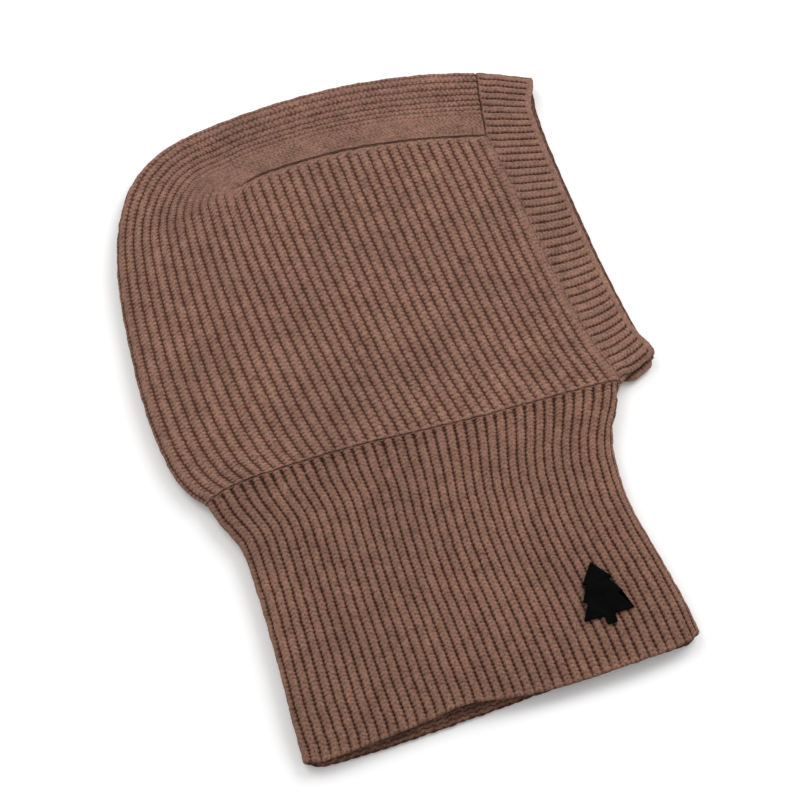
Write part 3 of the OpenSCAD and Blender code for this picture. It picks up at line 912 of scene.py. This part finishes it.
def band():
    shell = Shell()
    rows = BAND_COURSES * ROWS_PER_COURSE
    b = np.linspace(0, 1, rows + 1)
    w = rib_samples(0, BAND_RIBS)[:-1]
    points = np.stack([band_points(k, w) for k in b])
    c = (b * BAND_COURSES)[:, None]
    tight = smooth(np.minimum(w, BAND_RIBS - w), 0.2, 1.4)[None, :]
    tight = 1 - (1 - tight) * smooth(b, 0.1, 0.4)[:, None] * 0.7
    lift = plain_rib(w[None, :], c) + 0.1 * (1 - rib_phase(w[None, :]) ** 2)
    lift = mix(lift, 1.15 + 0.08 * np.cos(math.tau * 2 * w[None, :]), bell(c, BAND_COURSES - 0.2, 0.6))
    lift = mix(lift, flat_knit(w[None, :], c), 0.85 * bell(c, 0, 0.7))
    lift = (lift - 0.2 * bell(c, 0, 0.3)) * tight
    ids = shell.grid(points, lift, np.broadcast_to(w[None, :], lift.shape), np.broadcast_to(c, lift.shape))
    closed = np.column_stack([ids, ids[:, :1]])
    shell.skin(closed)
    closed, = shell.weld(closed)
    inside = shell.line(closed[::ROWS_PER_COURSE, ::INNER_COLUMNS])
    ahead = np.array([1.0, 0, 0])
    shell.rim(closed[0], inside[0], None, -ahead, flip=False)
    shell.rim(closed[-1], inside[-1], None, ahead, 4, 0.9, flip=True)
    return shell.mesh("face_band_knit", BAND_WOOL)


# ---------------------------------------------------------------- seam yarns and threads
PLY_TURN = 3.2
PLY_STEPS = 8
PLY_SIDES = 6


def frames(path, up, closed=False):
    """Unit side and up vectors at each point of a path, square to it."""
    ahead = np.roll(path, -1, 0) - np.roll(path, 1, 0) if closed else np.gradient(path, axis=0)
    ahead = unit(ahead)
    side = unit(np.cross(ahead, np.broadcast_to(up, path.shape)))
    return side, np.cross(side, ahead)


def resampled(path, step, *others):
    """A path, and other values along it, at even steps of its length."""
    run = run_of(path)
    at = np.linspace(0, run[-1], max(4, round(run[-1] / step)) + 1)
    return [read_at(at, run, values) for values in (path, *others)]


def tube(path, radius, up, closed=False):
    """Points and faces of a tube, capped at its ends where it isn't closed."""
    side, over = frames(path, up, closed)
    angle = np.linspace(0, math.tau, PLY_SIDES, endpoint=False)
    radius = np.broadcast_to(radius, len(path))[:, None, None]
    rings = path[:, None] + radius * (np.cos(angle)[None, :, None] * side[:, None]
                                      + np.sin(angle)[None, :, None] * over[:, None])
    n, count = PLY_SIDES, len(path)
    faces = [(i * n + j, (i + 1) % count * n + j, (i + 1) % count * n + (j + 1) % n, i * n + (j + 1) % n)
             for i in range(count if closed else count - 1) for j in range(n)]
    if not closed:
        faces += [tuple(range(n)), tuple(range(count * n - 1, (count - 1) * n - 1, -1))]
    return rings.reshape(-1, 3), faces


def merged(name, parts, material):
    """One object from several (points, faces) parts, with the attributes that the wool reads."""
    points, faces, start = [], [], 0
    for part_points, part_faces in parts:
        points.append(part_points)
        faces += [tuple(start + i for i in f) for f in part_faces]
        start += len(part_points)
    points = np.vstack(points)
    mesh = mesh_of(name, points, faces)
    mark_knit(mesh, np.full(len(points), 0.9), np.column_stack([points[:, :2] / 4, np.zeros(len(points))]))
    return finished(name, mesh, material)


def plied(name, path, up, radius, closed=False):
    """Two plies of yarn twisted round a path."""
    path, up = resampled(path, PLY_TURN / PLY_STEPS, up)
    if closed:
        path, up = path[:-1], up[:-1]
    side, over = frames(path, up, closed)
    turns = round(len(path) / PLY_STEPS)
    angle = np.linspace(0, math.tau * turns, len(path), endpoint=not closed)[:, None]
    parts = []
    for start in (0, math.pi):
        twist = np.cos(angle + start) * side + np.sin(angle + start) * over
        parts.append(tube(path + twist * radius * 0.5, radius * 0.62, up, closed))
    return merged(name, parts, SHADED_SEAM_WOOL)


def outward(rows):
    """Unit vectors out of the fabric along the middle one of three rows of a ring."""
    across = rows[2] - rows[0]
    along = np.roll(rows[1], -1, 0) - np.roll(rows[1], 1, 0)
    return unit(np.cross(across, along))


def ring_seam(name, row_at, ribs, v, step, depth):
    """Linking yarn round a ring of knit, at a height over its groove level."""
    w = np.linspace(0, ribs, 1200)
    rows = [row_at(v + k * step, w) for k in (-1, 0, 1)]
    out = outward(rows)
    return plied(name, rows[1] + out * depth, out, YARN, closed=True)


def line_seam(name, points, height, radius):
    """Linking yarn along an open plan curve, at one height or at a function of its points."""
    xy = even_curve(points, np.linspace(0, 1, 300))
    z = height(xy) if callable(height) else np.full(len(xy), float(height))
    path = np.column_stack([xy, z])
    return plied(name, path, np.broadcast_to(np.array([0, 0, 1.0]), path.shape), radius)


def thread_stitches(name, spots, length, radius, base):
    """Short arched stitches of thread, along Y, each centred on one of the spots."""
    t = np.linspace(-1, 1, 9)
    parts = []
    for x, y in spots:
        path = np.column_stack([np.full(9, x), y + t * length / 2, base + radius * (1.3 - 1.6 * t ** 4)])
        parts.append(tube(path, radius * np.sqrt(1.02 - t ** 6 * 0.9), np.array([0, 0, 1.0])))
    return merged(name, parts, THREAD)


# ---------------------------------------------------------------- badge and labels
def box_in_mm(node_name):
    """A CAD node's lowest and highest corners."""
    low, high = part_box(node_name)
    return np.array(low) / MM, np.array(high) / MM


def rounded(outline, radius, steps=4):
    """A closed outline with its corners rounded off."""
    points = []
    for k, corner in enumerate(outline):
        ends = []
        for other in (outline[k - 1], outline[(k + 1) % len(outline)]):
            away = other - corner
            length = np.linalg.norm(away)
            ends.append(corner + away * min(radius / length, 0.4))
        for t in np.linspace(0, 1, steps + 1):
            points.append((1 - t) ** 2 * ends[0] + 2 * t * (1 - t) * corner + t ** 2 * ends[1])
    return np.array(points)


def fir_badge():
    """A plain fir tree with softened edges, as wide, tall and thick as its CAD plate."""
    low, high = box_in_mm("badge_plate")
    centre, size = (low + high) / 2, high - low
    half = [(0.10, 0), (0.10, 0.14), (0.50, 0.14), (0.30, 0.42), (0.40, 0.42), (0.22, 0.68), (0.30, 0.68),
            (0, 1)]
    outline = np.array(half + [(-x, y) for x, y in reversed(half[:-1])]) - (0, 0.5)
    outline = rounded(centre[:2] + outline * size[:2], 1.1)
    ahead = np.roll(outline, -1, 0) - np.roll(outline, 1, 0)
    inward = unit(np.column_stack([-ahead[:, 1], ahead[:, 0]]))
    soft = 0.45
    rings = [(soft * 0.5, 0), (0, soft * 0.5)]
    rings += [(soft * (1 - math.cos(t)), size[2] - soft + soft * math.sin(t))
              for t in np.linspace(0, math.pi / 2, 6)]
    n = len(outline)
    points = [(*p, low[2] + z) for inset, z in rings for p in outline + inward * inset]
    faces = [(k * n + i, k * n + (i + 1) % n, (k + 1) * n + (i + 1) % n, (k + 1) * n + i)
             for k in range(len(rings) - 1) for i in range(n)]
    faces += [tuple(range(n - 1, -1, -1)), tuple(range((len(rings) - 1) * n, len(rings) * n))]
    mesh = mesh_of("fir_badge", points, faces)
    obj = finished("fir_badge", mesh, BLACK)
    mesh.set_sharp_from_angle(angle=math.radians(40))
    return obj


def tape(name, x, y, height_at):
    """A woven label tape as a closed sheet: x and y are its lines of points, height_at its lower face."""
    top = np.array([[(a, b, height_at(a) + TAPE_THICKNESS * edge) for b, edge in y] for a in x])
    low = np.array([[(a, b, height_at(a)) for b, _ in y] for a in x])
    n, m = len(x), len(y)
    index = np.arange(n * m).reshape(n, m)
    faces = []
    for i in range(n - 1):
        for j in range(m - 1):
            q = (index[i, j], index[i + 1, j], index[i + 1, j + 1], index[i, j + 1])
            faces += [q, tuple(n * m + k for k in reversed(q))]
    border = [*index[:, 0], *index[-1, 1:], *index[-2::-1, -1], *index[0, -2:0:-1]]
    for a, b in zip(border, border[1:] + border[:1]):
        faces.append((b, a, n * m + a, n * m + b))
    points = np.vstack([top.reshape(-1, 3), low.reshape(-1, 3)])
    return finished(name, mesh_of(name, points, [tuple(int(k) for k in f) for f in faces]), TAPE)


def tape_lines(low, high, selvedge=0.8, steps=14):
    """Places across a tape with the share of its thickness there: it is thicker along both selvedges."""
    inner = np.linspace(low + selvedge, high - selvedge, steps)
    places = [(low, 0.7), (low + selvedge * 0.35, 1.15), (low + selvedge * 0.7, 1.1)]
    places += [(float(p), 0.9) for p in inner]
    return places + [(high - selvedge * 0.7, 1.1), (high - selvedge * 0.35, 1.15), (high, 0.7)]


def care_label():
    """The folded care label: a sewn edge that lies flat, and a free part that follows its hinge."""
    edge_low, edge_high = box_in_mm("care_label_edge")
    flap_low, flap_high = box_in_mm("care_label_flap")
    x = np.concatenate([np.linspace(edge_low[0], edge_high[0], 6),
                        np.linspace(edge_high[0], flap_high[0], 45)[1:]])
    base, rise = edge_low[2] + LABEL_GAP, flap_low[2] - edge_low[2]

    def height(a):
        free = smooth(a, edge_high[0] - 0.5, flap_low[0] + 2)
        curl = 0.10 * np.sin((a - edge_high[0]) / 6.5) * smooth(a, edge_high[0], flap_high[0])
        return base + free * (rise + 0.10 + curl)

    return tape("care_label_tape", x, tape_lines(edge_low[1], edge_high[1]), height)


def size_label():
    low, high = box_in_mm("size_label")
    middle = (low[0] + high[0]) / 2

    def height(a):
        return low[2] + LABEL_GAP + 0.10 * (1 - ((a - middle) / (high[0] - middle)) ** 2)

    return tape("size_label_tape", np.linspace(low[0], high[0], 31), tape_lines(low[1], high[1]), height)


def label_stitches(label_name, label, rows, margin):
    """The stitches of a label: rows are shares of the label's width where a line of stitches runs."""
    low, high = box_in_mm(label)
    pitch = (high[1] - low[1] - 2 * margin) / (STITCH_COUNT - 1)
    spots = [(low[0] + (high[0] - low[0]) * r, low[1] + margin + k * pitch)
             for r in rows for k in range(STITCH_COUNT)]
    return thread_stitches(label_name + "_thread", spots, pitch * 0.7, THREAD_RADIUS, high[2] - 0.08)


# ---------------------------------------------------------------- the pieces
hood_knit = belongs(hood(), "hood_knit", "hood_panel")
neck_knit = belongs(neck(), "neck_knit", "neck_tube")
band_knit = belongs(band(), "band_knit", "face_band")

inside_low = FLOOR_GAP + FABRIC
for yarn, seam_node in (
        (ring_seam("neck_linking", neck_points, NECK_RIBS, 0.996, 0.004, 0.15), "neck_seam"),
        (ring_seam("face_band_linking", band_points, BAND_RIBS, 0.02, 0.02, 0.1), "face_band_seam"),
        (line_seam("crown_linking_right", CROWN_SEAM, lambda xy: top_height(xy[:, 0], xy[:, 1]) - 0.25, YARN),
         "crown_seam_right"),
        (line_seam("crown_linking_left", CROWN_SEAM, FLOOR_GAP + 0.25, YARN), "crown_seam_left"),
        (line_seam("neck_front_linking", [(x - 8, y) for x, y in NECK_FRONT[:-1]], inside_low + 0.45,
                   INSIDE_YARN), "neck_front_seam"),
        (line_seam("face_band_join_linking", [(114, -20), (124, -19), (133, -18)], inside_low + 0.4,
                   INSIDE_YARN), "face_band_join")):
    belongs(yarn, "seam_yarn", seam_node)

belongs(fir_badge(), "badge_black", "badge_plate")
care_tape = belongs(care_label(), "label_tape", "care_label_edge", "care_label_flap", body=None)
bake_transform(care_tape)
size_tape = belongs(size_label(), "label_tape", "size_label")
belongs(label_stitches("care_label", "care_label_edge", [0.5], 2), "label_thread", "care_label_stitches")
belongs(label_stitches("size_label", "size_label", [0.05, 0.95], 1), "label_thread", "size_label_stitches")
for name in ("badge_posts", "badge_washers"):
    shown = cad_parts[name]
    shown.data.materials.clear()
    shown.data.materials.append(STEEL)

# ---------------------------------------------------------------- camera and light
# The camera's aim, direction, distance and field of view, in metres and radians
AIM = (-3.5 * MM, -9 * MM, 0)
AZIMUTH, ELEVATION, DISTANCE, FIELD = math.radians(-17.3), math.radians(64), 1.08, math.radians(23)

# Size of the square lamps in metres, brightness of the sky, and half the floor's side in mm
LAMP_SIZE = 0.9
SKY = 0.7
FLOOR_HALF = 3000


def lamp(name, where, power):
    light = bpy.data.lights.new(name, "AREA")
    light.size, light.energy = LAMP_SIZE, power
    obj = bpy.data.objects.new(name, light)
    obj.location = where
    obj.rotation_euler = (-Vector(where)).to_track_quat("-Z", "Y").to_euler()
    bpy.context.scene.collection.objects.link(obj)


def studio():
    corners = [(-1, -1, 0), (1, -1, 0), (1, 1, 0), (-1, 1, 0)]
    mesh = mesh_of("floor", np.array(corners) * FLOOR_HALF, [(0, 1, 2, 3)])
    floor_white, _, p, _ = shader("floor_white")
    p.inputs["Base Color"].default_value = (0.98, 0.98, 0.98, 1)
    p.inputs["Roughness"].default_value = 0.7
    finished("floor", mesh, floor_white)
    world = bpy.data.worlds.new("studio")
    bpy.context.scene.world = world
    world.use_nodes = True
    world.node_tree.nodes["Background"].inputs[0].default_value = (1, 1, 1, 1)
    world.node_tree.nodes["Background"].inputs[1].default_value = SKY
    lamp("key", (-0.5, 0.8, 1.45), 7)
    lamp("fill", (1.1, 0.55, 1.25), 13)
    back = Vector((math.sin(AZIMUTH) * math.cos(ELEVATION), -math.cos(AZIMUTH) * math.cos(ELEVATION),
                   math.sin(ELEVATION)))
    cam = bpy.data.cameras.new("camera")
    cam.angle = FIELD
    camera = bpy.data.objects.new("camera", cam)
    camera.location = Vector(AIM) + back * DISTANCE
    camera.rotation_euler = (-back).to_track_quat("-Z", "Y").to_euler()
    bpy.context.scene.collection.objects.link(camera)
    bpy.context.scene.camera = camera
    bpy.context.scene.view_settings.view_transform = "Standard"


studio()
